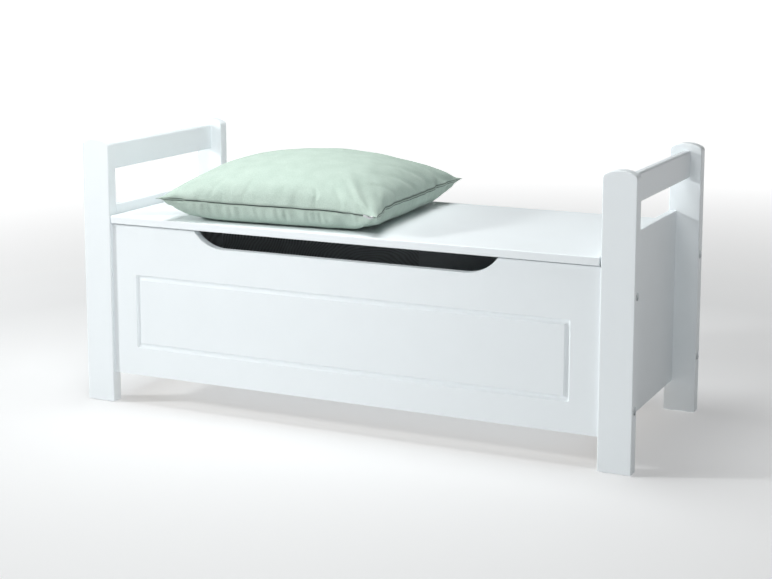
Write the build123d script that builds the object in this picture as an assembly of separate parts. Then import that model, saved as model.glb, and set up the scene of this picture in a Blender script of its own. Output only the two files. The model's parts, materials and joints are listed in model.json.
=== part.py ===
from build123d import *
import math
import os

# A storage bench: four wide posts, arm rails, a panelled box under a hinged seat lid, and a
# loose cushion. Millimetres. The origin is on the floor under the middle of the bench,
# +X runs to the right along the seat, +Y to the back and +Z up.

os.makedirs("parts", exist_ok=True)

# Driving dimensions
BENCH_WIDTH = 1100.0
BENCH_DEPTH = 436.0
SHOULDER_HEIGHT = 507.0
ARCH_RISE = 9.0
ARCH_CORNER = 9.0
POST_WIDTH = 60.0
POST_THICKNESS = 24.0
EDGE_ROUND = 2.0
GLIDE_THICKNESS = 2.0

PANEL_THICKNESS = 16.0
PANEL_RECESS = 6.0
PANEL_BOTTOM = 60.0
PANEL_TOP = 352.0
SIDE_THICKNESS = 15.0
SIDE_TOP = 388.0

LID_BOTTOM = 354.0
LID_THICKNESS = 15.0
LID_FRONT_RECESS = 0.3
LID_BACK_RECESS = 10.0
LID_END_GAP = 2.5

RAIL_BOTTOM = 451.0
RAIL_HEIGHT = 52.0
RAIL_THICKNESS = 15.0
RAIL_INSET = 21.0
RAIL_ROUND = 4.0

GROOVE_HALF_LENGTH = 432.0
GROOVE_LOW = 119.0
GROOVE_HIGH = 252.0
GROOVE_RADIUS = 5.4
GROOVE_DEPTH = 3.9

CUT_TOP_HALF = 305.0
CUT_FLOOR_HALF = 243.0
CUT_DEPTH = 31.0
# How far cutting shapes run past the faces that they cut
OVERCUT = 1.0

CLEAT = 20.0
FLOOR_THICKNESS = 12.0
BATTEN_WIDTH = 40.0
BATTEN_HEIGHT = 18.0
BATTEN_LENGTH = 350.0
BATTEN_CHAMFER = 2.0
BATTEN_PLACES = (-400.0, 400.0)

BOLT_HEIGHTS = (110.0, 306.0)
BOLT_RADIUS = 3.0
BOLT_HOLE = 3.5
BOLT_HEAD_RADIUS = 7.0
BOLT_HEAD_LENGTH = 2.2
BOLT_LENGTH = 90.0
SOCKET_RADIUS = 2.3
SOCKET_DEPTH = 1.8
CAP_RADIUS = 7.2
CAP_THICKNESS = 0.9
CAP_CHAMFER = 0.3
SPIGOT_CLEARANCE = 0.1
SPIGOT_GAP = 0.2
COUNTERBORE_RADIUS = 7.6
COUNTERBORE_DEPTH = 6.8
NUT_RADIUS = 5.0
NUT_LENGTH = 12.0
NUT_FROM_END = 28.0
NUT_SLOT_WIDTH = 1.6
NUT_SLOT_DEPTH = 0.6

RAIL_DOWEL_HEIGHTS = (464.0, 490.0)
SIDE_DOWEL_HEIGHTS = (150.0, 224.0, 350.0)
DOWEL_RADIUS = 3.0
DOWEL_LENGTH = 30.0
DOWEL_IN_POST = 12.0

HINGE_PLACES = {"left": -330.0, "middle": 0.0, "right": 330.0}
HINGE_WIDTH = 60.0
HINGE_SEGMENTS = 5
SEGMENT_GAP = 0.2
LEAF_THICKNESS = 1.2
FRAME_LEAF_HEIGHT = 30.0
LID_LEAF_LENGTH = 32.0
KNUCKLE_RADIUS = 2.8
KNUCKLE_GAP = 0.2
LID_LEAF_GAP = 0.7
PIN_RADIUS = 1.25
PIN_CLEARANCE = 0.05
PIN_HEAD_RADIUS = 2.3
PIN_HEAD_LENGTH = 0.8

SCREW_RADIUS = 1.6
SCREW_HEAD_RADIUS = 3.2
SCREW_HEAD_HEIGHT = 1.8
SCREW_TIP = 2.5
CROSS_LENGTH = 3.5
CROSS_WIDTH = 0.8
CROSS_DEPTH = 0.9
CLEAT_SCREW_LENGTH = 28.0
HINGE_SCREW_LENGTH = 13.0
BATTEN_SCREW_LENGTH = 26.0
LONG_CLEAT_SCREWS = (-400.0, -200.0, 0.0, 200.0, 400.0)
SHORT_CLEAT_SCREWS = (-130.0, 0.0, 130.0)
BATTEN_SCREWS = (-140.0, 0.0, 140.0)
HINGE_SCREWS = (-20.0, 0.0, 20.0)
FRAME_SCREW_DROP = 18.0
LID_SCREW_INSET = 20.0

BUMPER_RADIUS = 5.0
BUMPER_CLEARANCE = 0.1
BUMPER_PLACES = (-465.0, -345.0, 345.0, 465.0)
GLIDE_RADIUS = 9.0
GLIDE_OFFSET = 17.0
NAIL_RADIUS = 1.2
NAIL_LENGTH = 14.0

CUSHION_SIDE = 450.0
CUSHION_HEIGHT = 118.0
CUSHION_CENTRE = (-160.0, 0.0)
CUSHION_TURN = 3.4
CUSHION_LIFT = 0.3
# Share of the height and share of the side, from where the cushion rests to its crown
CUSHION_PROFILE = ((0.0, 0.74), (0.14, 0.90), (0.36, 1.0), (0.58, 0.90), (0.84, 0.62), (1.0, 0.30))
CUSHION_SEAM_CORNER = 18.0
CUSHION_CORNER_GROWTH = 130.0
CUSHION_CORNER_LIMIT = 0.45

SIDES = {"left": -1, "right": 1}
ENDS = {"front": -1, "rear": 1}

# Places that follow from the dimensions above
HALF_WIDTH = BENCH_WIDTH / 2
HALF_DEPTH = BENCH_DEPTH / 2
BAY_HALF = HALF_WIDTH - POST_WIDTH
BAY_DEPTH = HALF_DEPTH - POST_THICKNESS
PANEL_FACE = HALF_DEPTH - PANEL_RECESS
PANEL_INNER = PANEL_FACE - PANEL_THICKNESS
PANEL_MIDDLE = PANEL_FACE - PANEL_THICKNESS / 2
LID_TOP = LID_BOTTOM + LID_THICKNESS
LID_FRONT = -HALF_DEPTH + LID_FRONT_RECESS
LID_BACK = HALF_DEPTH - LID_BACK_RECESS
PIN_Y = HALF_DEPTH - KNUCKLE_RADIUS
PIN_Z = LID_BOTTOM - LEAF_THICKNESS
RAIL_OUTER = HALF_WIDTH - RAIL_INSET
RAIL_MIDDLE = RAIL_OUTER - RAIL_THICKNESS / 2
SIDE_MIDDLE = BAY_HALF + SIDE_THICKNESS / 2
CLEAT_BOTTOM = PANEL_BOTTOM + 2.0
FLOOR_BOTTOM = CLEAT_BOTTOM + CLEAT


def save(name, shape):
    """Write one sub-part as parts/NAME.step."""
    shape.label = name
    export_step(shape, f"parts/{name}.step")


def group(solids):
    """Identical pieces that stay separate solids in one node."""
    return Compound(children=list(solids))


def block(x, y, z):
    """A box from (low, high) pairs along X, Y and Z."""
    centre = [(low + high) / 2 for low, high in (x, y, z)]
    size = [abs(high - low) for low, high in (x, y, z)]
    return Pos(*centre) * Box(*size)


def rod_x(radius, x0, x1, y, z):
    """A cylinder along X from x0 to x1."""
    return Pos((x0 + x1) / 2, y, z) * Rot(0, 90, 0) * Cylinder(radius, abs(x1 - x0))


def rod_y(radius, y0, y1, x, z):
    """A cylinder along Y from y0 to y1."""
    return Pos(x, (y0 + y1) / 2, z) * Rot(90, 0, 0) * Cylinder(radius, abs(y1 - y0))


def rod_z(radius, z0, z1, x, y):
    """A cylinder along Z from z0 to z1."""
    return Pos(x, y, (z0 + z1) / 2) * Cylinder(radius, abs(z1 - z0))


def screw_hole(length):
    """The room a countersunk wood screw takes: its head is at z = 0 and it points down."""
    shank_end = SCREW_TIP - length
    head = Pos(0, 0, -SCREW_HEAD_HEIGHT / 2) * Cone(SCREW_RADIUS, SCREW_HEAD_RADIUS, SCREW_HEAD_HEIGHT)
    shank = rod_z(SCREW_RADIUS, -SCREW_HEAD_HEIGHT, shank_end, 0, 0)
    tip = Pos(0, 0, shank_end - SCREW_TIP / 2) * Cone(SCREW_RADIUS / 4, SCREW_RADIUS, SCREW_TIP)
    return head + shank + tip


def screw(length):
    """A countersunk wood screw with a cross recess."""
    body = screw_hole(length)
    body -= Box(CROSS_LENGTH, CROSS_WIDTH, CROSS_DEPTH * 2)
    body -= Box(CROSS_WIDTH, CROSS_LENGTH, CROSS_DEPTH * 2)
    return body


def bolt_places():
    """Side, end and height of the eight connector bolts."""
    return [(side, end, z) for side in SIDES.values() for end in ENDS.values() for z in BOLT_HEIGHTS]


def rail_dowel_places():
    return [(side, end, z) for side in SIDES.values() for end in ENDS.values() for z in RAIL_DOWEL_HEIGHTS]


def side_dowel_places():
    return [(side, end, z) for side in SIDES.values() for end in ENDS.values() for z in SIDE_DOWEL_HEIGHTS]


def dowel(x, end, z):
    """A wooden dowel along Y, from inside a post into the board that meets it."""
    return rod_y(DOWEL_RADIUS, end * (BAY_DEPTH + DOWEL_IN_POST),
                 end * (BAY_DEPTH + DOWEL_IN_POST - DOWEL_LENGTH), x, z)


def rail_dowels():
    return [dowel(side * RAIL_MIDDLE, end, z) for side, end, z in rail_dowel_places()]


def side_dowels():
    return [dowel(side * SIDE_MIDDLE, end, z) for side, end, z in side_dowel_places()]


def bolt_seat():
    """Distance from the middle of the bench to the floor of a bolt's counterbore."""
    return HALF_WIDTH - COUNTERBORE_DEPTH


def bolt_holes():
    """Counterbore and clearance hole of every connector bolt."""
    holes = []
    for side, end, z in bolt_places():
        y = end * PANEL_MIDDLE
        tip = bolt_seat() - BOLT_LENGTH - OVERCUT
        holes.append(rod_x(COUNTERBORE_RADIUS, side * (HALF_WIDTH + OVERCUT), side * bolt_seat(), y, z))
        holes.append(rod_x(BOLT_HOLE, side * bolt_seat(), side * tip, y, z))
    return holes


def nut_holes():
    """Blind holes for the barrel nuts, from the panels' inner faces."""
    depth = PANEL_THICKNESS / 2 + NUT_LENGTH / 2
    return [rod_y(NUT_RADIUS, end * (PANEL_INNER - OVERCUT), end * (PANEL_INNER + depth),
                  side * (BAY_HALF - NUT_FROM_END), z) for side, end, z in bolt_places()]


def glide_places():
    """Two glides under each post."""
    middle_x = HALF_WIDTH - POST_WIDTH / 2
    middle_y = HALF_DEPTH - POST_THICKNESS / 2
    return [(side * middle_x + offset, end * middle_y) for side in SIDES.values()
            for end in ENDS.values() for offset in (-GLIDE_OFFSET, GLIDE_OFFSET)]


def glide(x, y):
    """A nail-in glide: a disc under the post with a nail up into it."""
    disc = rod_z(GLIDE_RADIUS, 0, GLIDE_THICKNESS, x, y)
    return disc + rod_z(NAIL_RADIUS, GLIDE_THICKNESS, GLIDE_THICKNESS + NAIL_LENGTH, x, y)


def post_board():
    """A post about its own middle: the top is a shallow arch with rounded corners."""
    half = POST_WIDTH / 2
    foot = GLIDE_THICKNESS
    outline = Line((-half, foot), (half, foot))
    outline += Line((half, foot), (half, SHOULDER_HEIGHT))
    crown = SHOULDER_HEIGHT + ARCH_RISE
    outline += ThreePointArc((half, SHOULDER_HEIGHT), (0, crown), (-half, SHOULDER_HEIGHT))
    outline += Line((-half, SHOULDER_HEIGHT), (-half, foot))
    face = make_face(Plane.XZ * outline)
    face = fillet(face.vertices().sort_by(Axis.Z)[-2:], ARCH_CORNER)
    board = extrude(face, amount=POST_THICKNESS / 2, both=True)
    rims = [edge for edge in board.edges()
            if abs(abs(edge.center().Y) - POST_THICKNESS / 2) < 0.01 and edge.center().Z > foot + 1]
    return fillet(rims, EDGE_ROUND)


def post(side, end):
    place = Pos(side * (HALF_WIDTH - POST_WIDTH / 2), end * (HALF_DEPTH - POST_THICKNESS / 2), 0)
    board = place * post_board()
    return board - bolt_holes() - rail_dowels() - side_dowels() - [glide(*spot) for spot in glide_places()]


def arm_rail(side):
    """A rounded board between the front and rear posts."""
    rail = block((side * (RAIL_OUTER - RAIL_THICKNESS), side * RAIL_OUTER), (-BAY_DEPTH, BAY_DEPTH),
                 (RAIL_BOTTOM, RAIL_BOTTOM + RAIL_HEIGHT))
    rail = fillet(rail.edges().filter_by(Axis.Y), RAIL_ROUND)
    return rail - rail_dowels()


def side_panel(side):
    panel = block((side * BAY_HALF, side * (BAY_HALF + SIDE_THICKNESS)), (-BAY_DEPTH, BAY_DEPTH),
                  (PANEL_BOTTOM, SIDE_TOP))
    panel = fillet(panel.edges().filter_by(Axis.Y).sort_by(Axis.Z)[-2:], EDGE_ROUND)
    return panel - side_dowels() - cleat_screw_holes()


def cut_out():
    """The hand cut-out in the front panel's top edge: a flat floor with an arc at each end."""
    floor = PANEL_TOP - CUT_DEPTH
    run = CUT_TOP_HALF - CUT_FLOOR_HALF
    turn = 2 * math.atan2(CUT_DEPTH, run)
    radius = run / math.sin(turn)
    middle_run = radius * math.sin(turn / 2)
    middle_rise = radius * (1 - math.cos(turn / 2))
    above = PANEL_TOP + OVERCUT
    outline = Line((-CUT_FLOOR_HALF, floor), (CUT_FLOOR_HALF, floor))
    outline += ThreePointArc((CUT_FLOOR_HALF, floor), (CUT_FLOOR_HALF + middle_run, floor + middle_rise),
                             (CUT_TOP_HALF, PANEL_TOP))
    outline += Polyline((CUT_TOP_HALF, PANEL_TOP), (CUT_TOP_HALF, above), (-CUT_TOP_HALF, above),
                        (-CUT_TOP_HALF, PANEL_TOP))
    outline += ThreePointArc((-CUT_TOP_HALF, PANEL_TOP), (-CUT_FLOOR_HALF - middle_run, floor + middle_rise),
                             (-CUT_FLOOR_HALF, floor))
    face = make_face(Plane.XZ * outline)
    return Pos(0, -PANEL_MIDDLE, 0) * extrude(face, amount=PANEL_THICKNESS, both=True)


def groove():
    """The routed rectangle: round-nosed runs with a ball at each corner."""
    y = -PANEL_FACE - GROOVE_RADIUS + GROOVE_DEPTH
    pieces = []
    for z in (GROOVE_LOW, GROOVE_HIGH):
        pieces.append(rod_x(GROOVE_RADIUS, -GROOVE_HALF_LENGTH, GROOVE_HALF_LENGTH, y, z))
    for x in (-GROOVE_HALF_LENGTH, GROOVE_HALF_LENGTH):
        pieces.append(rod_z(GROOVE_RADIUS, GROOVE_LOW, GROOVE_HIGH, x, y))
        for z in (GROOVE_LOW, GROOVE_HIGH):
            pieces.append(Pos(x, y, z) * Sphere(GROOVE_RADIUS))
    return pieces


def end_panel(end):
    """Front or back panel without its decoration."""
    panel = block((-BAY_HALF, BAY_HALF), (end * PANEL_INNER, end * PANEL_FACE), (PANEL_BOTTOM, PANEL_TOP))
    return panel - bolt_holes() - nut_holes() - cleat_screw_holes()


def front_panel():
    panel = end_panel(ENDS["front"]) - cut_out()
    rim_height = PANEL_TOP - CUT_DEPTH
    rims = [edge for edge in panel.edges()
            if abs(edge.center().Y + PANEL_FACE) < 0.01 and rim_height - 0.1 < edge.center().Z < PANEL_TOP - 1
            and abs(edge.center().X) < CUT_TOP_HALF]
    panel = fillet(rims, EDGE_ROUND / 2)
    return panel - groove()


def back_panel():
    return end_panel(ENDS["rear"]) - frame_leaf_screw_holes()


def floor_panel():
    return block((-BAY_HALF, BAY_HALF), (-PANEL_INNER, PANEL_INNER),
                 (FLOOR_BOTTOM, FLOOR_BOTTOM + FLOOR_THICKNESS))


def long_cleat(end):
    """A strip under the floor panel, along the front or back panel."""
    strip = block((-BAY_HALF, BAY_HALF), (end * (PANEL_INNER - CLEAT), end * PANEL_INNER),
                  (CLEAT_BOTTOM, CLEAT_BOTTOM + CLEAT))
    return strip - cleat_screw_holes()


def short_cleat(side):
    """A strip under the floor panel, along a side panel."""
    reach = PANEL_INNER - CLEAT
    strip = block((side * (BAY_HALF - CLEAT), side * BAY_HALF), (-reach, reach),
                  (CLEAT_BOTTOM, CLEAT_BOTTOM + CLEAT))
    return strip - cleat_screw_holes()


def cleat_screw_places():
    """Where the cleat screws' heads sit, and the turn that points them into the panels."""
    z = CLEAT_BOTTOM + CLEAT / 2
    places = []
    for end in ENDS.values():
        for x in LONG_CLEAT_SCREWS:
            places.append(Pos(x, end * (PANEL_INNER - CLEAT), z) * Rot(-90 * -end, 0, 0))
    for side in SIDES.values():
        for y in SHORT_CLEAT_SCREWS:
            places.append(Pos(side * (BAY_HALF - CLEAT), y, z) * Rot(0, -90 * side, 0))
    return places



def cleat_screw_holes():
    return [place * screw_hole(CLEAT_SCREW_LENGTH) for place in cleat_screw_places()]


def cleat_screws():
    return [place * screw(CLEAT_SCREW_LENGTH) for place in cleat_screw_places()]


def frame_leaf_screw_places():
    """Three screws a hinge, through the frame leaf into the back panel."""
    y = PANEL_FACE + LEAF_THICKNESS
    return [Pos(x + step, y, PIN_Z - FRAME_SCREW_DROP) * Rot(-90, 0, 0)
            for x in HINGE_PLACES.values() for step in HINGE_SCREWS]


def lid_leaf_screw_places():
    """Three screws a hinge, up through the lid leaf into the lid."""
    y = LID_BACK - LID_SCREW_INSET
    return [Pos(x + step, y, LID_BOTTOM - LEAF_THICKNESS) * Rot(180, 0, 0)
            for x in HINGE_PLACES.values() for step in HINGE_SCREWS]


def batten_screw_places():
    """Three screws a batten, up into the lid."""
    return [Pos(x, y, LID_BOTTOM - BATTEN_HEIGHT) * Rot(180, 0, 0)
            for x in BATTEN_PLACES for y in BATTEN_SCREWS]


def frame_leaf_screw_holes():
    return [place * screw_hole(HINGE_SCREW_LENGTH) for place in frame_leaf_screw_places()]


def lid_leaf_screw_holes():
    return [place * screw_hole(HINGE_SCREW_LENGTH) for place in lid_leaf_screw_places()]


def batten_screw_holes():
    return [place * screw_hole(BATTEN_SCREW_LENGTH) for place in batten_screw_places()]


def hexagon(radius, x0, x1, y, z):
    """A hexagonal bar along X from x0 to x1."""
    place = Pos((x0 + x1) / 2, y, z) * Rot(0, 90, 0)
    return place * extrude(RegularPolygon(radius, 6), amount=abs(x1 - x0) / 2, both=True)


def connector_bolt(side, end, z):
    """A flat-headed connector bolt from a post into a panel's end, with a hexagon socket."""
    seat = bolt_seat()
    top = seat + BOLT_HEAD_LENGTH
    y = end * PANEL_MIDDLE
    bolt = rod_x(BOLT_HEAD_RADIUS, side * seat, side * top, y, z)
    bolt += rod_x(BOLT_RADIUS, side * seat, side * (seat - BOLT_LENGTH), y, z)
    return bolt - hexagon(SOCKET_RADIUS, side * (top - SOCKET_DEPTH), side * top, y, z)


def bolt_cap(side, end, z):
    """A cover cap on a bolt's head: a disc with a spigot in the socket."""
    top = bolt_seat() + BOLT_HEAD_LENGTH
    y = end * PANEL_MIDDLE
    disc = rod_x(CAP_RADIUS, side * top, side * (top + CAP_THICKNESS), y, z)
    disc = chamfer(disc.edges().group_by(Axis.X)[-1 if side > 0 else 0], CAP_CHAMFER)
    spigot_end = top - SOCKET_DEPTH + SPIGOT_GAP
    return disc + hexagon(SOCKET_RADIUS - SPIGOT_CLEARANCE, side * spigot_end, side * top, y, z)


def barrel_nut(side, end, z):
    """A cross dowel in the panel, threaded onto the bolt, with a slot to turn it."""
    x = side * (BAY_HALF - NUT_FROM_END)
    low = PANEL_MIDDLE - NUT_LENGTH / 2
    nut = rod_y(NUT_RADIUS, end * low, end * (low + NUT_LENGTH), x, z)
    nut -= rod_x(BOLT_RADIUS, x - NUT_RADIUS, x + NUT_RADIUS, end * PANEL_MIDDLE, z)
    return nut - Pos(x, end * low, z) * Box(2 * NUT_RADIUS, 2 * NUT_SLOT_DEPTH, NUT_SLOT_WIDTH)


def segments(middle, which):
    """The knuckle stretches of a hinge: which is 0 for the frame leaf, 1 for the lid leaf."""
    pitch = HINGE_WIDTH / HINGE_SEGMENTS
    start = middle - HINGE_WIDTH / 2
    return [(start + i * pitch + SEGMENT_GAP / 2, start + (i + 1) * pitch - SEGMENT_GAP / 2)
            for i in range(which, HINGE_SEGMENTS, 2)]


def frame_leaf(middle):
    """The hinge leaf on the back panel's outer face."""
    y = (PANEL_FACE, PANEL_FACE + LEAF_THICKNESS)
    x = (middle - HINGE_WIDTH / 2, middle + HINGE_WIDTH / 2)
    shoulder = PIN_Z - KNUCKLE_RADIUS - KNUCKLE_GAP
    leaf = block(x, y, (PIN_Z - FRAME_LEAF_HEIGHT, shoulder))
    for stretch in segments(middle, 0):
        leaf += block(stretch, y, (shoulder, PIN_Z - KNUCKLE_GAP))
        leaf += rod_x(KNUCKLE_RADIUS, *stretch, PIN_Y, PIN_Z)
    leaf -= rod_x(PIN_RADIUS, *x, PIN_Y, PIN_Z)
    return leaf - frame_leaf_screw_holes()


def lid_leaf(middle):
    """The hinge leaf under the lid."""
    z = (LID_BOTTOM - LEAF_THICKNESS, LID_BOTTOM)
    x = (middle - HINGE_WIDTH / 2, middle + HINGE_WIDTH / 2)
    edge = PIN_Y - KNUCKLE_RADIUS - LID_LEAF_GAP
    leaf = block(x, (LID_BACK - LID_LEAF_LENGTH, edge), z)
    for stretch in segments(middle, 1):
        leaf += block(stretch, (edge, PIN_Y), z)
        leaf += rod_x(KNUCKLE_RADIUS, *stretch, PIN_Y, PIN_Z)
    leaf -= rod_x(PIN_RADIUS + PIN_CLEARANCE, *x, PIN_Y, PIN_Z)
    return leaf - lid_leaf_screw_holes()


def hinge_pin(middle):
    half = HINGE_WIDTH / 2
    pin = rod_x(PIN_RADIUS, middle - half, middle + half, PIN_Y, PIN_Z)
    for side in SIDES.values():
        start = middle + side * half
        pin += rod_x(PIN_HEAD_RADIUS, start, start + side * PIN_HEAD_LENGTH, PIN_Y, PIN_Z)
    return pin


def seat_lid():
    end = BAY_HALF - LID_END_GAP
    lid = block((-end, end), (LID_FRONT, LID_BACK), (LID_BOTTOM, LID_TOP))
    front = lid.edges().filter_by(Axis.X).sort_by(Axis.Y)[:2]
    lid = fillet(front, EDGE_ROUND)
    top = lid.faces().sort_by(Axis.Z)[-1].edges().filter_by(Axis.Y)
    lid = fillet(top, EDGE_ROUND / 2)
    return lid - lid_leaf_screw_holes() - batten_screw_holes()


def lid_batten(x):
    batten = block((x - BATTEN_WIDTH / 2, x + BATTEN_WIDTH / 2), (-BATTEN_LENGTH / 2, BATTEN_LENGTH / 2),
                   (LID_BOTTOM - BATTEN_HEIGHT, LID_BOTTOM))
    batten = chamfer(batten.edges().group_by(Axis.Z)[0], BATTEN_CHAMFER)
    return batten - batten_screw_holes()


def cushion():
    """A plain closed pillow: widest at its seam, narrower where it rests and at its crown."""
    sections = []
    for rise, share in CUSHION_PROFILE:
        side = CUSHION_SIDE * share
        corner = min(CUSHION_SEAM_CORNER + CUSHION_CORNER_GROWTH * (1 - share), CUSHION_CORNER_LIMIT * side)
        sections.append(Pos(0, 0, rise * CUSHION_HEIGHT) * RectangleRounded(side, side, corner))
    body = loft(sections, ruled=True)
    return Pos(*CUSHION_CENTRE, LID_TOP + CUSHION_LIFT) * Rot(0, 0, CUSHION_TURN) * body


for side_name, side in SIDES.items():
    for end_name, end in ENDS.items():
        save(f"{end_name}_{side_name}_post", post(side, end))
    save(f"{side_name}_arm_rail", arm_rail(side))
    save(f"{side_name}_side_panel", side_panel(side))
    save(f"{side_name}_floor_cleat", short_cleat(side))

for end_name, end in ENDS.items():
    save(f"{end_name}_floor_cleat", long_cleat(end))

save("front_panel", front_panel())
save("back_panel", back_panel())
save("floor_panel", floor_panel())

save("connector_bolts", group(connector_bolt(*place) for place in bolt_places()))
save("bolt_caps", group(bolt_cap(*place) for place in bolt_places()))
save("barrel_nuts", group(barrel_nut(*place) for place in bolt_places()))
save("rail_dowels", group(rail_dowels()))
save("side_panel_dowels", group(side_dowels()))
save("cleat_screws", group(cleat_screws()))

for hinge_name, hinge_x in HINGE_PLACES.items():
    save(f"{hinge_name}_hinge_frame_leaf", frame_leaf(hinge_x))
    save(f"{hinge_name}_hinge_lid_leaf", lid_leaf(hinge_x))
    save(f"{hinge_name}_hinge_pin", hinge_pin(hinge_x))
save("hinge_frame_screws", group(place * screw(HINGE_SCREW_LENGTH) for place in frame_leaf_screw_places()))
save("hinge_lid_screws", group(place * screw(HINGE_SCREW_LENGTH) for place in lid_leaf_screw_places()))

save("lid_bumpers", group(rod_z(BUMPER_RADIUS, PANEL_TOP, LID_BOTTOM - BUMPER_CLEARANCE, x, -PANEL_MIDDLE)
                          for x in BUMPER_PLACES))
save("foot_glides", group(glide(*place) for place in glide_places()))

save("seat_lid", seat_lid())
save("left_lid_batten", lid_batten(BATTEN_PLACES[0]))
save("right_lid_batten", lid_batten(BATTEN_PLACES[1]))
save("batten_screws", group(place * screw(BATTEN_SCREW_LENGTH) for place in batten_screw_places()))
save("cushion", cushion())
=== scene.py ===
"""A white painted storage bench with a hinged seat lid, and a loose mint cushion lying on it."""

import json
import math

import bmesh
import bpy
from mathutils import Matrix, Vector, noise


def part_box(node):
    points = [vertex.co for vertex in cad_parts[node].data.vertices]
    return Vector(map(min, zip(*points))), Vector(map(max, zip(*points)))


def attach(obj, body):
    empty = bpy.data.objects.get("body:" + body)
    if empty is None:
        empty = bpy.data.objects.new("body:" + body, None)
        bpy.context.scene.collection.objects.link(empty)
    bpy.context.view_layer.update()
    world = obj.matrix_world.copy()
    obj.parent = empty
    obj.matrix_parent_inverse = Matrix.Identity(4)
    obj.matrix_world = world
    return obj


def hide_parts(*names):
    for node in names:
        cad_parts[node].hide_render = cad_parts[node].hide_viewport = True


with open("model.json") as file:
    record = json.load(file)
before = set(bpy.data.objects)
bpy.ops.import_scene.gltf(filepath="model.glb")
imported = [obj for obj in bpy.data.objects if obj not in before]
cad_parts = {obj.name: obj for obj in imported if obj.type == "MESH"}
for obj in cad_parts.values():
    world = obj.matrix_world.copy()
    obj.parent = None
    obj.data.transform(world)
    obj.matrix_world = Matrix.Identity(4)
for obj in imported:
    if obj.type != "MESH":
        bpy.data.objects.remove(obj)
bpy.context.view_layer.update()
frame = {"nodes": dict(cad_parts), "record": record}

MM = 0.001
NODES = frame["nodes"]

# ---------------------------------------------------------------- driving values, lengths in metres

LID_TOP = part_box("seat_lid")[1].z
FRONT_LOW, FRONT_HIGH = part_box("front_panel")
BACK_LOW, BACK_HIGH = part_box("back_panel")
PAD_LOW, PAD_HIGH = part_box("cushion")

CUSHION_SIDE = 450 * MM
CUSHION_TURN = math.radians(3.4)
CUSHION_SEAM_HEIGHT = 39 * MM
CUSHION_REST_GAP = 0.3 * MM
CUSHION_CELLS = 80
WELT_WIDTH = 3.2 * MM
CUT_UNEVENNESS = 0.8 * MM
PUCKER_PITCH = 18 * MM
# Panel (+1 top, -1 bottom), start and end as shares of half the side, width and depth
CREASES = [
    (1, (0.97, 0.95), (0.35, 0.55), 11 * MM, 2.2 * MM),
    (1, (1.00, 0.74), (0.48, 0.22), 12 * MM, 2.4 * MM),
    (1, (1.00, 0.45), (0.60, -0.12), 10 * MM, 1.9 * MM),
    (1, (1.00, 0.10), (0.66, -0.38), 9 * MM, 1.7 * MM),
    (1, (1.00, -0.30), (0.74, -0.62), 8 * MM, 1.3 * MM),
    (1, (0.99, -0.86), (0.70, -0.45), 10 * MM, 1.2 * MM),
    (1, (0.93, -0.99), (0.66, -0.60), 9 * MM, 1.4 * MM),
    (1, (0.84, -1.00), (0.56, -0.66), 8 * MM, 1.3 * MM),
    (1, (0.66, -1.00), (0.52, -0.78), 7 * MM, 1.2 * MM),
    (1, (0.42, -1.00), (0.38, -0.84), 4.5 * MM, 1.6 * MM),
    (1, (0.12, -1.00), (0.10, -0.80), 6 * MM, 0.8 * MM),
    (1, (-0.22, -1.00), (-0.18, -0.76), 7 * MM, 0.8 * MM),
    (1, (-0.55, -1.00), (-0.42, -0.70), 7 * MM, 1.0 * MM),
    (1, (-0.95, -0.96), (-0.50, -0.52), 9 * MM, 1.6 * MM),
    (1, (-1.00, -0.60), (-0.62, -0.25), 9 * MM, 1.4 * MM),
    (1, (-1.00, 0.20), (-0.60, 0.28), 10 * MM, 1.4 * MM),
    (1, (-0.96, 0.95), (-0.45, 0.50), 10 * MM, 2.0 * MM),
    (1, (-0.30, 1.00), (-0.22, 0.62), 8 * MM, 1.3 * MM),
    (1, (0.35, 1.00), (0.22, 0.60), 9 * MM, 1.5 * MM),
    (-1, (0.95, -0.95), (0.60, -0.60), 8 * MM, 1.6 * MM),
    (-1, (-0.95, -0.95), (-0.62, -0.62), 8 * MM, 1.6 * MM),
    (-1, (0.95, 0.95), (0.60, 0.60), 8 * MM, 1.6 * MM),
    (-1, (-0.95, 0.95), (-0.62, 0.62), 8 * MM, 1.6 * MM),
]
# Side in x, side in y, and the height that the corner's seam stands above the middle of its edges
CORNER_RISES = [(-1, -1, 5 * MM), (1, -1, -4 * MM), (1, 1, 7 * MM), (-1, 1, 5 * MM)]
CORNER_REACH = 0.13
CORNER_FOLD_REACH = 0.19
CORNER_FOLD_HEIGHT = 1.1 * MM
SEAM_WANDER = 1.8 * MM
PUCKER_HEIGHT = 1.15 * MM
PUCKER_REACH = 50 * MM
CREASE_BEND = 5 * MM
HOLLOW_DEPTH = 1.8 * MM
ZIP_START = -0.37 * CUSHION_SIDE
ZIP_END = 0.47 * CUSHION_SIDE
# How far the zip lies inside the seam, as a multiple of the bead's height
ZIP_SINK = 3.2
BEAD_HEIGHT = 0.9 * MM
ZIP_LIP_CLOSING = 0.4 * MM
TOOTH_PITCH = 2.4 * MM
TOOTH_SIZE = Vector((1.5 * MM, 1.6 * MM, 1.1 * MM))
SLIDER_SIZE = Vector((8 * MM, 4.5 * MM, 3.2 * MM))
TAB_SIZE = Vector((4.5 * MM, 1.1 * MM, 15 * MM))
SLIDER_PROUD = 1.8 * MM
TAB_OFFSET = Vector((-7.0 * MM, 0, 0.5 * MM))
TAB_PROUD = 5.0 * MM
TAB_TILT = math.radians(24)
TAB_SWING = math.radians(-68)

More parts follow.
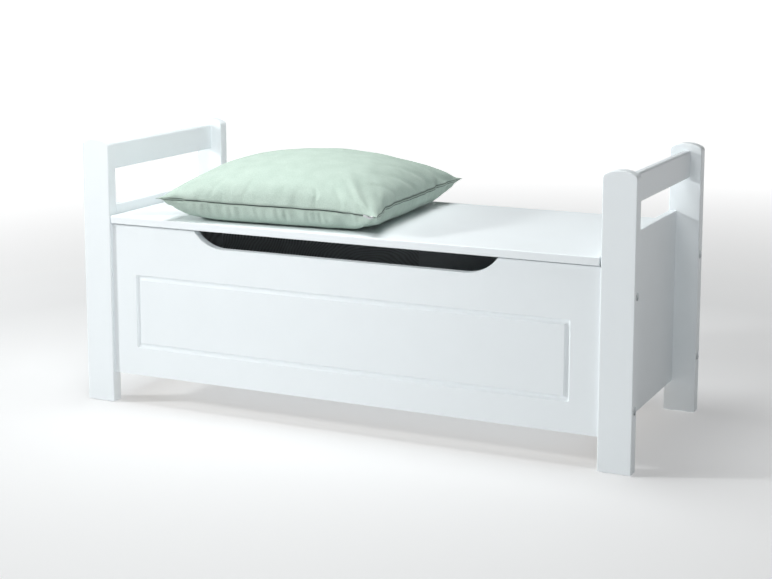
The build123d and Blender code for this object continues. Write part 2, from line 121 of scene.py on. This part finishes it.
CLOTH_QUALITY = 6
CLOTH_MASS = 0.3
TENSION_STIFFNESS = 40
COMPRESSION_STIFFNESS = 8
SHEAR_STIFFNESS = 2
BENDING_STIFFNESS = 0.1
AIR_DAMPING = 2
CLOTH_FRAMES = 17
CLOTH_PRESSURE = 6.0
CLOTH_CALMING = 5
CROWN_SLOPE = 1.3
DOME_SHARE = 0.78
DOME_POWER = 0.62
BELLY_SHARE = 1.22
REST_SOFTNESS = 3.6 * MM

CAMERA_PLACE = Vector((1.282, -2.7112, 0.8729))
CAMERA_YAW = math.radians(25.432)
CAMERA_PITCH = math.radians(8.683)
CAMERA_LENS_MM = 74.347
CAMERA_SHIFT = -0.125

KEY_DIRECTION = Vector((0.837, 0.434, -0.334)).normalized()
KEY_DISTANCE = 5.5
KEY_SIZE = 0.65
KEY_POWER_W = 192.0
FILL_PLACE = Vector((0.35, -1.0, 1.35))
FILL_AIM = Vector((-0.5, 0.0, 0.45))
FILL_SIZE = 0.5
FILL_SPREAD = math.radians(70)
FILL_POWER_W = 1.0
TOP_PLACE = Vector((-0.22, -0.2, 2.0))
TOP_SIZE = 1.1
TOP_POWER_W = 28.5
FRONT_PLACE = Vector((1.7, -2.7, 0.7))
FRONT_AIM = Vector((0.5, 0.1, 0.2))
FRONT_SIZE = 0.8
FRONT_POWER_W = 9.0
SKY_STRENGTH = 0.02
FLOOR_GLOW = 0.37
FLOOR_BACK_GLOW = 0.98
FLOOR_FRONT_GLOW = 0.62
NEAR_RADIUS = 1.2
NEAR_FADE = 2.2
STUDIO_RADIUS = 12.0
WALL_HEIGHT = 2.3
COVE_WIDTH = 1.2
DIM_WALL = 0.04


# ---------------------------------------------------------------- materials


class Value:
    """A socket of a material. Expressions on a number's socket add their Math nodes."""

    def __init__(self, finish, socket):
        self.finish = finish
        self.socket = socket

    def math(self, operation, *terms):
        return self.finish.node("ShaderNodeMath", {"operation": operation}, dict(enumerate(terms)))

    def __add__(self, other):
        return self.math("ADD", self, other)

    def __radd__(self, other):
        return self.math("ADD", other, self)

    def __sub__(self, other):
        return self.math("SUBTRACT", self, other)

    def __rsub__(self, other):
        return self.math("SUBTRACT", other, self)

    def __mul__(self, other):
        return self.math("MULTIPLY", self, other)

    def __rmul__(self, other):
        return self.math("MULTIPLY", other, self)

    def __truediv__(self, other):
        return self.math("DIVIDE", self, other)

    def __abs__(self):
        return self.math("ABSOLUTE", self)

    def __gt__(self, other):
        return self.math("GREATER_THAN", self, other)

    def __lt__(self, other):
        return self.math("LESS_THAN", self, other)

    def sine(self):
        return self.math("SINE", self)

    def power(self, exponent):
        return self.math("POWER", self, exponent)

    def limited(self):
        return self.math("MINIMUM", self.math("MAXIMUM", self, 0.0), 1.0)


class Finish:
    """One procedural material, built around a Principled shader."""

    def __init__(self, name, constants):
        self.material = bpy.data.materials.new(name)
        self.material.use_nodes = True
        self.tree = self.material.node_tree
        self.shader = self.tree.nodes["Principled BSDF"]
        for socket, constant in constants.items():
            self.shader.inputs[socket].default_value = constant

    def node(self, kind, settings, inputs, output=0):
        """Adds a node: its settings are set first, then the values or links of its sockets."""
        added = self.tree.nodes.new(kind)
        for setting, choice in settings.items():
            setattr(added, setting, choice)
        for socket, given in inputs.items():
            self.feed(added.inputs[socket], given)
        return Value(self, added.outputs[output])

    def feed(self, socket, given):
        if isinstance(given, Value):
            self.tree.links.new(given.socket, socket)
        else:
            socket.default_value = given

    def shade(self, socket, given):
        self.feed(self.shader.inputs[socket], given)

    def place(self):
        return self.node("ShaderNodeTexCoord", {}, {}, "Object")

    def axes(self, vector):
        """The three numbers of a vector."""
        split = self.node("ShaderNodeSeparateXYZ", {}, {"Vector": vector})
        return [Value(self, out) for out in split.socket.node.outputs]

    def stretched(self, vector, scale):
        return self.node("ShaderNodeMapping", {}, {"Vector": vector, "Scale": scale})

    def cloud(self, vector, size, detail=2.0, roughness=0.5):
        """Soft noise from 0 to 1 whose lumps are about one size across."""
        inputs = {"Vector": vector, "Scale": 1 / size, "Detail": detail, "Roughness": roughness}
        return self.node("ShaderNodeTexNoise", {}, inputs)

    def blend(self, mask, low, high):
        """Colour low where the mask is 0, high where it is 1."""
        return self.node("ShaderNodeMix", {"data_type": "RGBA"}, {0: mask, 6: low, 7: high}, 2)

    def bump(self, height, depth):
        """Lets a height from 0 to 1 stand up by a depth in metres."""
        self.shade("Normal", self.node("ShaderNodeBump", {}, {"Height": height, "Distance": depth}))


def tone(red, green, blue, share=1.0):
    return (red * share, green * share, blue * share, 1.0)


PAINT = (0.832, 0.876, 0.900)
FOIL = (0.66, 0.70, 0.73)
FOIL_SKIN = 0.8 * MM
FIGURE_CENTRE = (-120 * MM, BACK_LOW.y, 150 * MM)
# Painted shade: the darker wood grain stops here, at the edge of the light that falls through the slot
# onto the back board.
FIGURE_SHADOW_EDGE = -27 * MM
RING_PITCH = 6.5 * MM
THREAD_PITCH = 0.9 * MM


def rolled_paint(finish, place):
    """The colour of rolled paint, its fine stipple and its slow waves."""
    stipple = finish.cloud(place, 1.6 * MM, 3.0)
    waves = finish.cloud(place, 55 * MM)
    return finish.blend(waves, tone(*PAINT, 0.985), tone(*PAINT, 1.01)), stipple, waves


def white_paint():
    """Satin white paint rolled on smooth fibreboard: fine stipple, faint clouding, duller patches."""
    finish = Finish("white_paint", {"Specular IOR Level": 0.45, "Coat Roughness": 0.25})
    painted, stipple, waves = rolled_paint(finish, finish.place())
    finish.shade("Base Color", painted)
    finish.shade("Roughness", 0.36 + 0.14 * waves + 0.1 * stipple)
    finish.bump(0.7 * stipple + 0.3 * waves, 0.16 * MM)
    return finish.material


def routed_paint():
    """The same paint on the front panel, rougher where the cutter opened the board's core, and painted
    lighter there as a painted highlight.
    """
    finish = Finish("routed_white_paint_with_painted_highlight", {"Specular IOR Level": 0.45, "Coat Roughness": 0.25})
    place = finish.place()
    depth = finish.axes(place)[1]
    routed_and_highlight = (depth > FRONT_LOW.y + 0.4 * MM) * (depth < FRONT_HIGH.y - 0.4 * MM)
    fibres = finish.cloud(finish.stretched(place, (1.0, 6.0, 1.0)), 0.9 * MM, 4.0, 0.6)
    painted, stipple, waves = rolled_paint(finish, place)
    # Painted highlight: where the cutter went, the paint is a little lighter, for the bright lit wall of
    # the groove.
    finish.shade("Base Color", finish.blend(routed_and_highlight, painted, tone(*PAINT, 1.03)))
    finish.shade("Roughness", 0.36 + 0.14 * waves + 0.1 * stipple + 0.12 * routed_and_highlight)
    finish.bump(0.7 * stipple + 0.3 * waves + 0.8 * routed_and_highlight * fibres, 0.16 * MM)
    return finish.material


def lined_board(name, is_inner):
    """White paint outside, a pale grey foil on the inner face, with faint darker wood grain on its left
    half that ends where the light through the slot begins: a wood pattern and painted shade.
    """
    finish = Finish(name, {"Specular IOR Level": 0.4})
    place = finish.place()
    across, depth, height = finish.axes(place)
    inner = is_inner(across, depth, height)
    drift = finish.cloud(finish.stretched(place, (1.0, 1.0, 3.0)), 160 * MM, 2.0)
    ends = {0: place, 1: FIGURE_CENTRE}
    reach = finish.node("ShaderNodeVectorMath", {"operation": "DISTANCE"}, ends, "Value")
    rings = ((reach * (math.tau / RING_PITCH) + drift * 34).sine() * 0.5 + 0.5).power(1.3)
    pores = finish.cloud(finish.stretched(place, (1.0, 1.0, 0.25)), 1.6 * MM, 3.0, 0.65)
    # Wood grain and painted shade: darker rings only where the back board lies in shadow.
    figure_and_shade = (0.75 * rings + 0.35 * pores) * (across < FIGURE_SHADOW_EDGE)
    foil = finish.blend(figure_and_shade.limited(), tone(*FOIL), tone(*FOIL, 0.70))
    painted, stipple, _ = rolled_paint(finish, place)
    finish.shade("Base Color", finish.blend(inner, painted, foil))
    finish.shade("Roughness", 0.4 + 0.1 * stipple + 0.2 * inner)
    finish.bump(0.6 * stipple + 0.3 * figure_and_shade * inner, 0.15 * MM)
    return finish.material


def lined_side(name, inner_side):
    """A side board, lined on its face towards the box as high as the back board."""
    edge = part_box(name)[inner_side].x
    inner_top = BACK_HIGH.z + FOIL_SKIN
    return lined_board(f"lined_{name}", lambda x, y, z: (abs(x - edge) < FOIL_SKIN) * (z < inner_top))


def bare_pine(name, along):
    """Planed softwood: dark late-wood lines and fine pores along the piece (axis 0, 1 or 2)."""
    finish = Finish(name, {"Specular IOR Level": 0.35})
    squeeze = [1.0, 1.0, 1.0]
    squeeze[along] = 0.06
    grain_place = finish.stretched(finish.place(), squeeze)
    drift = finish.cloud(grain_place, 18 * MM, 2.0)
    pores = finish.cloud(grain_place, 0.9 * MM, 3.0, 0.6)
    across = finish.axes(grain_place)[(along + 1) % 3]
    lines = ((across * 1300 + drift * 22).sine() * 0.5 + 0.5).power(2.2)
    late = (0.75 * lines + 0.25 * pores).limited()
    finish.shade("Base Color", finish.blend(late, tone(0.72, 0.53, 0.33), tone(0.47, 0.28, 0.13)))
    finish.shade("Roughness", 0.58 + 0.2 * pores)
    finish.bump(pores - 0.4 * lines, 0.25 * MM)
    return finish.material


def zinc_steel():
    """Zinc-plated steel: cool grey with a faint mottle, fine rolling lines and duller spots."""
    finish = Finish("zinc_steel", {"Metallic": 1.0})
    place = finish.place()
    mottle = finish.cloud(place, 4 * MM, 3.0)
    rolled = finish.cloud(finish.stretched(place, (0.05, 1.0, 1.0)), 0.5 * MM, 2.0)
    finish.shade("Base Color", finish.blend(mottle, tone(0.50, 0.51, 0.53), tone(0.70, 0.71, 0.72)))
    finish.shade("Roughness", 0.26 + 0.16 * mottle + 0.1 * rolled)
    finish.bump(rolled + 0.3 * mottle, 0.05 * MM)
    return finish.material


def moulded_plastic(name, lightness):
    """Moulded polyamide with a fine spark-eroded texture."""
    finish = Finish(name, {"Specular IOR Level": 0.5})
    place = finish.place()
    spark = finish.cloud(place, 0.35 * MM, 2.0)
    clouds = finish.cloud(place, 12 * MM)
    pale = tone(0.97, 0.985, 1.0, lightness)
    finish.shade("Base Color", finish.blend(clouds, pale, tone(1.03, 1.04, 1.05, lightness)))
    finish.shade("Roughness", 0.42 + 0.16 * spark)
    finish.bump(spark, 0.06 * MM)
    return finish.material


def bumper_rubber():
    """Milky soft rubber, slightly dusty."""
    finish = Finish("bumper_rubber", {"Specular IOR Level": 0.35})
    place = finish.place()
    dust = finish.cloud(place, 1.1 * MM, 3.0, 0.6)
    finish.shade("Base Color", finish.blend(dust, tone(0.52, 0.53, 0.53), tone(0.66, 0.66, 0.65)))
    finish.shade("Roughness", 0.6 + 0.25 * dust)
    finish.bump(dust, 0.08 * MM)
    return finish.material


def brushed_cloth():
    """Mint cotton with a brushed nap: weave under mottled tufts, with painted shade in the seams and the
    slit.
    """
    constants = {
        "Sheen Weight": 0.06,
        "Sheen Roughness": 0.45,
        "Sheen Tint": (0.86, 0.96, 0.90, 1.0),
        "Specular IOR Level": 0.2,
    }
    finish = Finish("mint_brushed_cloth", constants)
    flat = finish.node("ShaderNodeAttribute", {"attribute_name": "flat"}, {}, "Vector")
    seam = finish.node("ShaderNodeAttribute", {"attribute_name": "seam"}, {}, "Fac")
    tufts = finish.cloud(flat, 2.0 * MM, 4.0, 0.62)
    brushed = finish.cloud(flat, 28 * MM, 3.0, 0.55)
    nap = finish.cloud(finish.stretched(flat, (1.0, 0.45, 1.0)), 0.8 * MM, 3.0, 0.6)
    along, across, _ = finish.axes(flat)
    thread = math.tau / THREAD_PITCH
    weave = (along * thread).sine() * (across * thread).sine()
    mottle = (0.5 + 2.2 * (tufts - 0.5) + 0.9 * (brushed - 0.5)).limited()
    mint = finish.blend(mottle, tone(0.395, 0.500, 0.440), tone(0.550, 0.655, 0.590))
    # Painted shade: the seam creases and the floor of the zip's slit are painted near-black.
    shaded = finish.blend((1.15 * seam).limited(), mint, tone(0.018, 0.030, 0.026))
    finish.shade("Base Color", shaded)
    finish.shade("Roughness", 0.78 + 0.18 * tufts)
    finish.bump(0.6 * tufts + 0.3 * nap + 0.1 * weave, 0.9 * MM)
    return finish.material


def zip_nylon():
    """Grey-green nylon of the zip's teeth."""
    finish = Finish("zip_nylon", {"Specular IOR Level": 0.4})
    ribs = finish.cloud(finish.place(), 0.7 * MM, 2.0)
    finish.shade("Base Color", finish.blend(ribs, tone(0.06, 0.09, 0.08), tone(0.13, 0.18, 0.16)))
    finish.shade("Roughness", 0.5 + 0.2 * ribs)
    finish.bump(ribs, 0.1 * MM)
    return finish.material


def white(share):
    return tone(1.0, 1.0, 1.0, share)


def studio_floor():
    """A plain pale floor and wall that glow, brighter far off and dimmer in front and to the right, with
    the faintest unevenness.
    """
    finish = Finish("studio_floor", {"Specular IOR Level": 0.1, "Emission Strength": 1.0})
    place = finish.place()
    across, depth, height = finish.axes(place)
    distance = finish.node("ShaderNodeVectorMath", {"operation": "LENGTH"}, {0: place}, "Value")
    far = ((distance - NEAR_RADIUS) / NEAR_FADE).limited()
    in_front = ((across - depth) / STUDIO_RADIUS + 0.3).limited()
    far_glow = finish.blend(in_front, white(FLOOR_BACK_GLOW), white(FLOOR_FRONT_GLOW))
    glow = finish.blend(far, white(FLOOR_GLOW), far_glow)
    dimmed = in_front * (height / COVE_WIDTH).limited()
    finish.shade("Emission Color", finish.blend(dimmed, glow, white(DIM_WALL)))
    haze = finish.cloud(place, 0.9, 2.0)
    pale = finish.blend(haze, tone(0.50, 0.505, 0.51), tone(0.52, 0.525, 0.53))
    finish.shade("Base Color", finish.blend(dimmed, pale, tone(0.24, 0.243, 0.246)))
    finish.shade("Roughness", 0.8 + 0.1 * haze)
    return finish.material


# ---------------------------------------------------------------- the bench's own boards and fittings


def finish_bench():
    """Gives each board and fitting of the bench its finish."""
    paint = white_paint()
    pine_across = bare_pine("bare_pine_across", 0)
    pine_deep = bare_pine("bare_pine_deep", 1)
    finishes = {
        "white_paint": paint,
        "bare_wood": pine_across,
        "zinc_steel": zinc_steel(),
        "bumper_rubber": bumper_rubber(),
        "white_plastic": moulded_plastic("moulded_white_plastic", 0.83),
    }
    special = {
        "front_panel": routed_paint(),
        # Painted shade: the white caps are painted mid-grey for the shade inside their recesses.
        "bolt_caps": moulded_plastic("grey_plastic_painted_recess_shade", 0.3),
        "back_panel": lined_board("lined_back_board", lambda x, y, z: y < BACK_LOW.y + FOIL_SKIN),
        "left_side_panel": lined_side("left_side_panel", 1),
        "right_side_panel": lined_side("right_side_panel", 0),
    }
    floor_cleats = ["left_floor_cleat", "right_floor_cleat"]
    lid_battens = ["left_lid_batten", "right_lid_batten"]
    special.update({name: pine_deep for name in [*floor_cleats, *lid_battens, "rail_dowels"]})
    for subpart in frame["record"]["subparts"]:
        name = subpart["node"]
        if name == "cushion":
            continue
        finish = special.get(name, finishes[subpart["material_slot"]])
        board = NODES[name]
        for slot in board.material_slots:
            slot.material = finish
        if not board.material_slots:
            board.data.materials.append(finish)


# ---------------------------------------------------------------- mesh helpers


def new_piece(name, bm, material):
    """Turns a finished bmesh into a smooth-shaded piece."""
    mesh = bpy.data.meshes.new(name)
    bm.to_mesh(mesh)
    bm.free()
    mesh.materials.append(material)
    for face in mesh.polygons:
        face.use_smooth = True
    piece = bpy.data.objects.new(name, mesh)
    bpy.context.scene.collection.objects.link(piece)
    return piece


def apply_modifiers(piece):
    """Keeps what the piece's modifiers make of its mesh, and removes them."""
    shaped = piece.evaluated_get(bpy.context.evaluated_depsgraph_get())
    mesh = bpy.data.meshes.new_from_object(shaped)
    piece.modifiers.clear()
    piece.data = mesh


def eased(low, high, amount):
    """0 below low, 1 above high, smooth between."""
    share = min(max((amount - low) / (high - low), 0.0), 1.0)
    return share * share * (3 - 2 * share)


# ---------------------------------------------------------------- the cushion


def flat_cover(cloth):
    """The sewn but unfilled cover: two square panels and the welt between them.

    Attribute flat keeps each point's place in the cut cloth: x, y, and +1, 0 or -1 for the top
    panel, the welt or the bottom panel.
    """
    bm = bmesh.new()
    half = CUSHION_SIDE / 2
    bmesh.ops.create_grid(bm, x_segments=CUSHION_CELLS, y_segments=CUSHION_CELLS, size=half)
    bmesh.ops.solidify(bm, geom=bm.faces[:], thickness=WELT_WIDTH)
    middle = sum(v.co.z for v in bm.verts) / len(bm.verts)
    bmesh.ops.translate(bm, verts=bm.verts[:], vec=(0, 0, -middle))
    upright = [e for e in bm.edges if abs(e.verts[0].co.z - e.verts[1].co.z) > WELT_WIDTH / 2]
    bmesh.ops.subdivide_edges(bm, edges=upright, cuts=1)
    bmesh.ops.recalc_face_normals(bm, faces=bm.faces[:])
    flat = bm.verts.layers.float_vector.new("flat")
    for vert in bm.verts:
        side = round(2 * vert.co.z / WELT_WIDTH)
        vert[flat] = (vert.co.x, vert.co.y, side)
        uneven = noise.noise(Vector((vert.co.x * 31, vert.co.y * 31, 3.0 * side)))
        vert.co.z += CUT_UNEVENNESS * uneven
    return new_piece("mint_cushion", bm, cloth)


def fill_cover(piece):
    """Blows the cover up as cloth, so that its sides pull in between the corners."""
    cloth = piece.modifiers.new("Cloth", "CLOTH")
    settings = cloth.settings
    settings.quality = CLOTH_QUALITY
    settings.mass = CLOTH_MASS
    settings.use_pressure = True
    settings.uniform_pressure_force = CLOTH_PRESSURE
    settings.tension_stiffness = TENSION_STIFFNESS
    settings.compression_stiffness = COMPRESSION_STIFFNESS
    settings.shear_stiffness = SHEAR_STIFFNESS
    settings.bending_stiffness = BENDING_STIFFNESS
    settings.air_damping = AIR_DAMPING
    settings.effector_weights.gravity = 0
    cloth.collision_settings.use_collision = False
    cloth.point_cache.frame_start = 1
    cloth.point_cache.frame_end = CLOTH_FRAMES
    for step in range(1, CLOTH_FRAMES + 1):
        bpy.context.scene.frame_set(step)
    apply_modifiers(piece)
    bpy.context.scene.frame_set(1)


def dome(place):
    """The height of a softly filled pillow over its cut cloth, from 0 at the seam to 1 at the crown."""
    half = CUSHION_SIDE / 2
    along = max(1 - (place.x / half) ** 2, 0.0)
    across = max(1 - (place.y / half) ** 2, 0.0)
    return (along * across) ** DOME_POWER


def settle_cover(bm):
    """Calms the small crumples, gives the filling its height, and flattens what rests on the lid."""
    half = CUSHION_SIDE / 2
    flat = bm.verts.layers.float_vector["flat"]
    panels = [v for v in bm.verts if max(abs(v[flat].x), abs(v[flat].y)) < half - 1 * MM]
    axes = {"use_axis_x": True, "use_axis_y": True, "use_axis_z": True}
    for _ in range(CLOTH_CALMING):
        bmesh.ops.smooth_vert(bm, verts=panels, factor=0.5, **axes)
    crown = PAD_HIGH.z - PAD_LOW.z - CUSHION_SEAM_HEIGHT
    top = max(v.co.z for v in bm.verts)
    bottom = -min(v.co.z for v in bm.verts)
    spread = half / max(v.co.x for v in bm.verts)
    belly = BELLY_SHARE * CUSHION_SEAM_HEIGHT
    for vert in bm.verts:
        vert.co.x *= spread
        vert.co.y *= spread
        if vert.co.z > 0:
            blown = (vert.co.z / top) ** CROWN_SLOPE
            vert.co.z = crown * (DOME_SHARE * dome(vert[flat]) + (1 - DOME_SHARE) * blown)
        else:
            vert.co.z *= belly / bottom
        vert.co.z += corner_lift(vert[flat])
        above_lid = (vert.co.z + CUSHION_SEAM_HEIGHT) / REST_SOFTNESS
        settled = REST_SOFTNESS * math.log1p(math.exp(min(above_lid, 60)))
        vert.co.z = settled - CUSHION_SEAM_HEIGHT


def corner_lift(place):
    """How far the seam rises towards the corners and dips between them, in metres."""
    half = CUSHION_SIDE / 2
    lift = 0.0
    for x, y, rise in CORNER_RISES:
        distance = Vector((place.x - x * half, place.y - y * half)).length
        lift += rise * (1 - eased(0.0, CORNER_REACH, distance))
    wander = noise.noise(Vector((place.x * 16, place.y * 16, 11.0)))
    rim = eased(-60 * MM, 0.0, max(abs(place.x), abs(place.y)) - half)
    return lift + SEAM_WANDER * wander * rim


def corner_folds(place):
    """Soft folds that run out of each corner, in metres."""
    half = CUSHION_SIDE / 2
    height = 0.0
    for index, (x, y) in enumerate([(-half, -half), (half, -half), (half, half), (-half, half)]):
        away = Vector((place.x - x, place.y - y))
        distance = away.length
        if distance > CORNER_FOLD_REACH or distance < 1 * MM:
            continue
        angle = math.atan2(abs(away.y), abs(away.x)) - math.pi / 4
        wander = noise.noise(Vector((distance * 14, index * 3.1, place.z)))
        fade = eased(0.0, 0.05, distance) * (1 - eased(0.08, CORNER_FOLD_REACH, distance))
        height += CORNER_FOLD_HEIGHT * fade * math.cos(angle * 9 + 2.4 * wander + index * 1.7)
    return height


def seam_puckers(place):
    """Small gathers in the cloth next to the seam, in metres: strongest under the zip."""
    half = CUSHION_SIDE / 2
    height = 0.0
    edges = [(place.y + half, place.x, 1.0), (half - place.y, place.x, 0.55)]
    edges += [(half - place.x, place.y, 0.55), (place.x + half, place.y, 0.55)]
    for index, (inset, along, strength) in enumerate(edges):
        if inset > PUCKER_REACH:
            continue
        if place.z > 0:
            strength *= 0.2
        wander = noise.noise(Vector((along * 22, index * 5.3, place.z)))
        patch = eased(-0.45, 0.2, noise.noise(Vector((along * 9, index * 2.1, 4.0 + place.z))))
        fade = eased(0.0, 0.006, inset) * (1 - eased(0.010, 0.042, inset))
        wave = math.sin(along * math.tau / PUCKER_PITCH + 5 * wander)
        height += PUCKER_HEIGHT * strength * patch * fade * wave
    return height


def creases(place):
    """Single soft creases pressed into the cloth, with a low swell on each side, in metres."""
    half = CUSHION_SIDE / 2
    height = 0.0
    for side, start, end, width, depth in CREASES:
        if side * place.z < 0.5:
            continue
        first = Vector(start) * half
        run = Vector(end) * half - first
        point = Vector((place.x, place.y)) - first
        share = point.dot(run) / run.length_squared
        if not -0.3 < share < 1.3:
            continue
        bend = CREASE_BEND * noise.noise(Vector((share * 2.2, start[0] * 7, start[1] * 5)))
        off = (run.x * point.y - run.y * point.x) / run.length + bend
        fade = eased(-0.3, 0.15, share) * (1 - eased(0.55, 1.3, share))
        wave = (off / width) ** 2
        height -= depth * fade * (1.35 - 0.9 * wave) * math.exp(-wave)
    return height


def broad_wrinkles(place):
    """Shallow hollows where the filling has shifted, in metres."""
    wave = noise.noise(Vector((place.x * 9, place.y * 5, 2.0 + place.z)))
    slanted = (place.x * 26 + place.y * 12, place.y * 7 - place.x * 5, 8.0 + place.z)
    ridge = noise.noise(Vector(slanted))
    right = eased(0.0, 0.16, place.x) * (1 - eased(0.19, 0.22, place.x))
    return HOLLOW_DEPTH * wave + (0.5 + 1.3 * right) * MM * ridge


def outward(place):
    """Straight out of the cushion on its edges, and no direction away from them."""
    half = CUSHION_SIDE / 2
    return Vector((round(0.5001 * place.x / half), round(0.5001 * place.y / half), 0))


def crease_cover(bm):
    """Adds folds, gathers, the welt's bead and the zip's slit, and marks the seams and the slit for the
    cloth's painted shade.
    """
    half = CUSHION_SIDE / 2
    flat = bm.verts.layers.float_vector["flat"]
    seam = bm.verts.layers.float.new("seam")
    bm.normal_update()
    moves = []
    for vert in bm.verts:
        place = vert[flat]
        inset = half - max(abs(place.x), abs(place.y))
        rim = 1 - eased(0.0, 2.0 * MM, inset)
        inner = eased(0.0, 30 * MM, inset)
        folds = corner_folds(place) + seam_puckers(place) + inner * broad_wrinkles(place)
        folds += eased(0.0, 7 * MM, inset) * creases(place)
        on_front = place.y < 0.5 * MM - half
        on_zip = on_front * eased(ZIP_START - 8 * MM, ZIP_START, place.x)
        on_zip *= 1 - eased(ZIP_END - 4 * MM, ZIP_END, place.x)
        bead = rim * (1 - abs(place.z)) - 0.55 * rim * abs(place.z)
        bead = bead * (1 - on_zip) - ZIP_SINK * on_zip * (1 - abs(place.z))
        step = vert.normal * folds * (1 - rim) + outward(place) * bead * BEAD_HEIGHT
        step.z -= on_zip * rim * ZIP_LIP_CLOSING * place.z
        # Painted shade: marks the seam's crease lines and the floor of the zip's slit for near-black
        # paint.
        seam_crease_shade = rim * abs(place.z) ** 2 * 0.75 * (1 - on_zip)
        vert[seam] = max(seam_crease_shade, on_zip * rim * (1 - 0.8 * place.z ** 2))
        moves.append(step)
    for vert, step in zip(bm.verts, moves):
        vert.co += step
        vert.co.z = max(vert.co.z, -CUSHION_SEAM_HEIGHT)


def lay_on_lid(bm):
    """Turns the finished cushion and lays it in its place on the lid."""
    centre = (PAD_LOW + PAD_HIGH) / 2
    floor_height = min(v.co.z for v in bm.verts)
    place = Vector((centre.x, centre.y, LID_TOP + CUSHION_REST_GAP - floor_height))
    laid = Matrix.Translation(place) @ Matrix.Rotation(CUSHION_TURN, 4, "Z")
    bmesh.ops.transform(bm, matrix=laid, verts=bm.verts[:])


def reshape(piece, *steps):
    """Runs mesh steps on a piece's own mesh."""
    bm = bmesh.new()
    bm.from_mesh(piece.data)
    for step in steps:
        step(bm)
    bm.to_mesh(piece.data)
    bm.free()


def zip_route(cushion):
    """Points along the floor of the zip's slit, in order from its start to its end."""
    half = CUSHION_SIDE / 2
    flat = cushion.data.attributes["flat"].data
    points = []
    for vert in cushion.data.vertices:
        place = flat[vert.index].vector
        if abs(place.z) < 0.1 and place.y < 0.5 * MM - half and ZIP_START < place.x < ZIP_END:
            points.append((place.x, vert.co.copy()))
    return [point for _, point in sorted(points, key=lambda pair: pair[0])]


def add_block(bm, size, matrix, rounding):
    """A small block with rounded edges."""
    made = bmesh.ops.create_cube(bm, size=1.0, matrix=matrix @ Matrix.Diagonal((*size, 1.0)))["verts"]
    edges = list({edge for vert in made for edge in vert.link_edges})
    shape = {"offset": rounding, "segments": 1, "profile": 0.5}
    bmesh.ops.bevel(bm, geom=edges, affect="EDGES", material=-1, **shape)


def make_zip(cushion):
    """The zip's row of teeth in the slit, and its slider with a pull tab at the closed end."""
    route = zip_route(cushion)
    turned = Matrix.Rotation(CUSHION_TURN, 4, "Z")
    bm = bmesh.new()
    travelled = 0.0
    for before, after in zip(route, route[1:]):
        travelled += (after - before).length
        if travelled > TOOTH_PITCH:
            travelled = 0.0
            add_block(bm, TOOTH_SIZE, Matrix.Translation(after) @ turned, 0.3 * MM)
    teeth = new_piece("cushion_zip_teeth", bm, zip_nylon())

    front = turned @ Vector((0, -1, 0))
    end = route[-1]
    bm = bmesh.new()
    add_block(bm, SLIDER_SIZE, Matrix.Translation(end + front * SLIDER_PROUD) @ turned, 0.9 * MM)
    tilt = Matrix.Rotation(TAB_TILT, 4, "X") @ Matrix.Rotation(TAB_SWING, 4, "Y")
    tab_place = end + front * TAB_PROUD + turned @ TAB_OFFSET
    add_block(bm, TAB_SIZE, Matrix.Translation(tab_place) @ turned @ tilt, 0.35 * MM)
    slider = new_piece("cushion_zip_slider", bm, zinc_steel())
    for piece, slot in ((teeth, "cushion_cloth"), (slider, "zinc_steel")):
        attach(piece, "cushion")


def make_cushion():
    cushion = flat_cover(brushed_cloth())
    fill_cover(cushion)
    reshape(cushion, settle_cover)
    finer = cushion.modifiers.new("Subdivision", "SUBSURF")
    finer.levels = 1
    finer.render_levels = 1
    apply_modifiers(cushion)
    reshape(cushion, crease_cover, lay_on_lid)
    for face in cushion.data.polygons:
        face.use_smooth = True
    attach(cushion, "cushion")
    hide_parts("cushion")
    make_zip(cushion)


# ---------------------------------------------------------------- studio


def soft_light(name, place, direction, size, power):
    light = bpy.data.lights.new(name, "AREA")
    light.shape = "DISK"
    light.size = size
    light.energy = power
    light.color = (0.985, 1.0, 0.995)
    lamp = bpy.data.objects.new(name, light)
    lamp.location = place
    lamp.rotation_euler = direction.to_track_quat("-Z", "Y").to_euler()
    bpy.context.scene.collection.objects.link(lamp)
    return light


def studio():
    """A pale floor that curves up into a round wall, a soft key light from the left, a wide one
    overhead and two weak ones from the front."""
    bm = bmesh.new()
    bmesh.ops.create_circle(bm, cap_ends=True, radius=STUDIO_RADIUS, segments=96)
    rim = bm.edges[:]
    raised = bmesh.ops.extrude_edge_only(bm, edges=rim)["geom"]
    upper = [part for part in raised if isinstance(part, bmesh.types.BMVert)]
    bmesh.ops.translate(bm, verts=upper, vec=(0, 0, WALL_HEIGHT))
    cove = {"offset": COVE_WIDTH, "segments": 10, "profile": 0.5}
    bmesh.ops.bevel(bm, geom=rim, affect="EDGES", material=-1, **cove)
    new_piece("studio_floor", bm, studio_floor())

    key_place = Vector((0, 0, 0.4)) - KEY_DISTANCE * KEY_DIRECTION
    soft_light("key_light", key_place, KEY_DIRECTION, KEY_SIZE, KEY_POWER_W)
    soft_light("top_light", TOP_PLACE, Vector((0, 0, -1)), TOP_SIZE, TOP_POWER_W)
    fill = soft_light("fill_light", FILL_PLACE, FILL_AIM - FILL_PLACE, FILL_SIZE, FILL_POWER_W)
    fill.spread = FILL_SPREAD
    soft_light("front_light", FRONT_PLACE, FRONT_AIM - FRONT_PLACE, FRONT_SIZE, FRONT_POWER_W)

    world = bpy.data.worlds.new("studio_surround")
    world.use_nodes = True
    background = world.node_tree.nodes["Background"]
    background.inputs["Color"].default_value = (0.95, 0.975, 1.0, 1.0)
    background.inputs["Strength"].default_value = SKY_STRENGTH
    bpy.context.scene.world = world
    bpy.context.scene.view_settings.view_transform = "Standard"


def place_camera():
    camera = bpy.data.objects.new("studio_camera", bpy.data.cameras.new("studio_camera"))
    camera.location = CAMERA_PLACE
    camera.rotation_euler = (math.pi / 2 - CAMERA_PITCH, 0, CAMERA_YAW)
    camera.data.lens = CAMERA_LENS_MM
    camera.data.sensor_width = 36
    camera.data.shift_y = CAMERA_SHIFT
    camera.data.clip_end = 200
    bpy.context.scene.collection.objects.link(camera)
    bpy.context.scene.camera = camera


finish_bench()
make_cushion()
studio()
place_camera()
